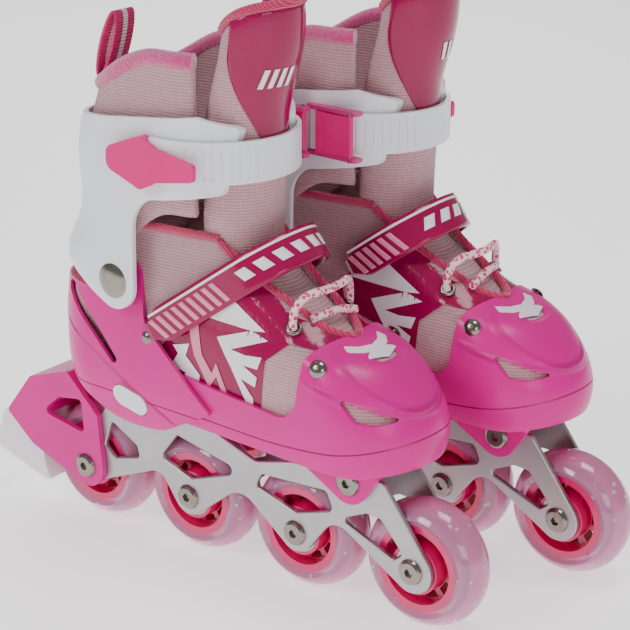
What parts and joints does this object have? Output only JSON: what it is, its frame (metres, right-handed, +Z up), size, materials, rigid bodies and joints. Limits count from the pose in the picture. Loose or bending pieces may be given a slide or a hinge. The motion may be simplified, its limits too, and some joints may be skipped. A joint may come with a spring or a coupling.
{
  "type": "pair of adjustable inline skates",
  "caption": "Pair of adjustable children's inline skates: soft boot in a sliding hard shell, hinged ankle cuff, ratchet and hook-and-loop straps, wheels in a metal frame, heel brake.",
  "frame": {"origin": "on the ground, in the middle of the standing pair's bounding box", "axes": "+X to the toes, +Y to the left, +Z up"},
  "size_m": [0.3341, 0.1776, 0.2859],
  "materials": {
    "shell_pink": "satin",
    "white_plastic": "satin",
    "frame_aluminium": "satin",
    "bolt_nickel": "polished",
    "rivet_nickel": "polished",
    "bearing_steel": "satin",
    "tyre_clear": "gloss",
    "hub_pink": "gloss",
    "upper_fabric": "woven and coated",
    "liner_mesh": "woven mesh",
    "lace_cord": "braided",
    "fitting_pink": "satin",
    "buckle_dark": "satin",
    "magenta_vinyl": "patent vinyl",
    "brake_rubber": "satin"
  },
  "bodies": {
    "right_skate": {"right_frame": "frame_aluminium", "right_frame_bolts": "bolt_nickel", "right_wheel_bearings": "bearing_steel", "right_sole_base": "shell_pink", "right_heel_shell": "shell_pink", "right_boot_upper": "upper_fabric", "right_lace": "lace_cord", "right_boot_hardware": "rivet_nickel", "right_brake_arm": "shell_pink", "right_brake_pad": "brake_rubber", "right_brake_bolt": "bolt_nickel"},
    "right_toe": {"right_toe_shell": "shell_pink", "right_toe_rivets": "rivet_nickel"},
    "right_cuff_band": {"right_cuff": "white_plastic", "right_boot_shaft": "liner_mesh", "right_tongue": "liner_mesh", "right_strap_anchor": "fitting_pink", "right_buckle_base": "buckle_dark", "right_buckle_pin": "bolt_nickel"},
    "right_strap": {"right_ratchet_strap": "white_plastic"},
    "right_lever": {"right_buckle_lever": "fitting_pink"},
    "right_button": {"right_size_button": "white_plastic"},
    "right_band": {"right_instep_strap": "magenta_vinyl"},
    "right_wheel_1": {"right_tyre_1": "tyre_clear", "right_hub_1": "hub_pink"},
    "right_wheel_2": {"right_tyre_2": "tyre_clear", "right_hub_2": "hub_pink"},
    "right_wheel_3": {"right_tyre_3": "tyre_clear", "right_hub_3": "hub_pink"},
    "right_wheel_4": {"right_tyre_4": "tyre_clear", "right_hub_4": "hub_pink"},
    "left_skate": {"left_frame": "frame_aluminium", "left_frame_bolts": "bolt_nickel", "left_wheel_bearings": "bearing_steel", "left_sole_base": "shell_pink", "left_heel_shell": "shell_pink", "left_boot_upper": "upper_fabric", "left_lace": "lace_cord", "left_boot_hardware": "rivet_nickel"},
    "left_toe": {"left_toe_shell": "shell_pink", "left_toe_rivets": "rivet_nickel"},
    "left_cuff_band": {"left_cuff": "white_plastic", "left_boot_shaft": "liner_mesh", "left_tongue": "liner_mesh", "left_strap_anchor": "fitting_pink", "left_buckle_base": "buckle_dark", "left_buckle_pin": "bolt_nickel"},
    "left_strap": {"left_ratchet_strap": "white_plastic"},
    "left_lever": {"left_buckle_lever": "fitting_pink"},
    "left_button": {"left_size_button": "white_plastic"},
    "left_band": {"left_instep_strap": "magenta_vinyl"},
    "left_wheel_1": {"left_tyre_1": "tyre_clear", "left_hub_1": "hub_pink"},
    "left_wheel_2": {"left_tyre_2": "tyre_clear", "left_hub_2": "hub_pink"},
    "left_wheel_3": {"left_tyre_3": "tyre_clear", "left_hub_3": "hub_pink"},
    "left_wheel_4": {"left_tyre_4": "tyre_clear", "left_hub_4": "hub_pink"}
  },
  "joints": [
    {"name": "right_wheel_1_spin", "type": "hinge", "parent": "right_skate", "child": "right_wheel_1", "pos_m": [-0.0965, -0.0448, 0.032], "axis": [0, 1, 0], "continuous": true},
    {"name": "right_wheel_2_spin", "type": "hinge", "parent": "right_skate", "child": "right_wheel_2", "pos_m": [-0.028, -0.0448, 0.032], "axis": [0, 1, 0], "continuous": true},
    {"name": "right_wheel_3_spin", "type": "hinge", "parent": "right_skate", "child": "right_wheel_3", "pos_m": [0.0405, -0.0448, 0.032], "axis": [0, 1, 0], "continuous": true},
    {"name": "right_wheel_4_spin", "type": "hinge", "parent": "right_skate", "child": "right_wheel_4", "pos_m": [0.109, -0.0448, 0.032], "axis": [0, 1, 0], "continuous": true},
    {"name": "right_cuff_tilt", "type": "hinge", "parent": "right_skate", "child": "right_cuff_band", "pos_m": [-0.0535, -0.0448, 0.149], "axis": [0, 1, 0], "range_deg": [-1.5, 8]},
    {"name": "right_toe_slide", "type": "slide", "parent": "right_skate", "child": "right_toe", "axis": [1, 0, 0], "range_m": [0, 0.02]},
    {"name": "right_size_button_press", "type": "slide", "parent": "right_skate", "child": "right_button", "axis": [0, 1, 0], "range_m": [0, 0.0022], "stiffness_N_per_m": 600},
    {"name": "right_strap_slide", "type": "slide", "parent": "right_cuff_band", "child": "right_strap", "axis": [1, 0, 0], "range_m": [0, 0.02]},
    {"name": "right_lever_release", "type": "hinge", "parent": "right_cuff_band", "child": "right_lever", "pos_m": [0.001, -0.0017, 0.216], "axis": [0, 0, -1], "range_deg": [0, 12], "stiffness_Nm_per_rad": 0.1},
    {"name": "right_band_loosen", "type": "slide", "parent": "right_skate", "child": "right_band", "axis": [0.809, 0, 0.5878], "range_m": [0, 0.01]},
    {"name": "left_wheel_1_spin", "type": "hinge", "parent": "left_skate", "child": "left_wheel_1", "pos_m": [-0.0704, 0.0448, 0.032], "axis": [0, 1, 0], "continuous": true},
    {"name": "left_wheel_2_spin", "type": "hinge", "parent": "left_skate", "child": "left_wheel_2", "pos_m": [-0.0019, 0.0448, 0.032], "axis": [0, 1, 0], "continuous": true},
    {"name": "left_wheel_3_spin", "type": "hinge", "parent": "left_skate", "child": "left_wheel_3", "pos_m": [0.0666, 0.0448, 0.032], "axis": [0, 1, 0], "continuous": true},
    {"name": "left_wheel_4_spin", "type": "hinge", "parent": "left_skate", "child": "left_wheel_4", "pos_m": [0.1351, 0.0448, 0.032], "axis": [0, 1, 0], "continuous": true},
    {"name": "left_cuff_tilt", "type": "hinge", "parent": "left_skate", "child": "left_cuff_band", "pos_m": [-0.0274, 0.0448, 0.149], "axis": [0, 1, 0], "range_deg": [-1.5, 8]},
    {"name": "left_toe_slide", "type": "slide", "parent": "left_skate", "child": "left_toe", "axis": [1, 0, 0], "range_m": [0, 0.02]},
    {"name": "left_size_button_press", "type": "slide", "parent": "left_skate", "child": "left_button", "axis": [0, -1, 0], "range_m": [0, 0.0022], "stiffness_N_per_m": 600},
    {"name": "left_strap_slide", "type": "slide", "parent": "left_cuff_band", "child": "left_strap", "axis": [1, 0, 0], "range_m": [0, 0.02]},
    {"name": "left_lever_release", "type": "hinge", "parent": "left_cuff_band", "child": "left_lever", "pos_m": [0.0271, 0.0017, 0.216], "axis": [0, 0, 1], "range_deg": [0, 12], "stiffness_Nm_per_rad": 0.1},
    {"name": "left_band_loosen", "type": "slide", "parent": "left_skate", "child": "left_band", "axis": [0.809, 0, 0.5878], "range_m": [0, 0.01]},
    {"name": "left_skate_lift", "type": "slide", "parent": "right_skate", "child": "left_skate", "axis": [0, 0, 1], "range_m": [0, 0.3]}
  ]
}
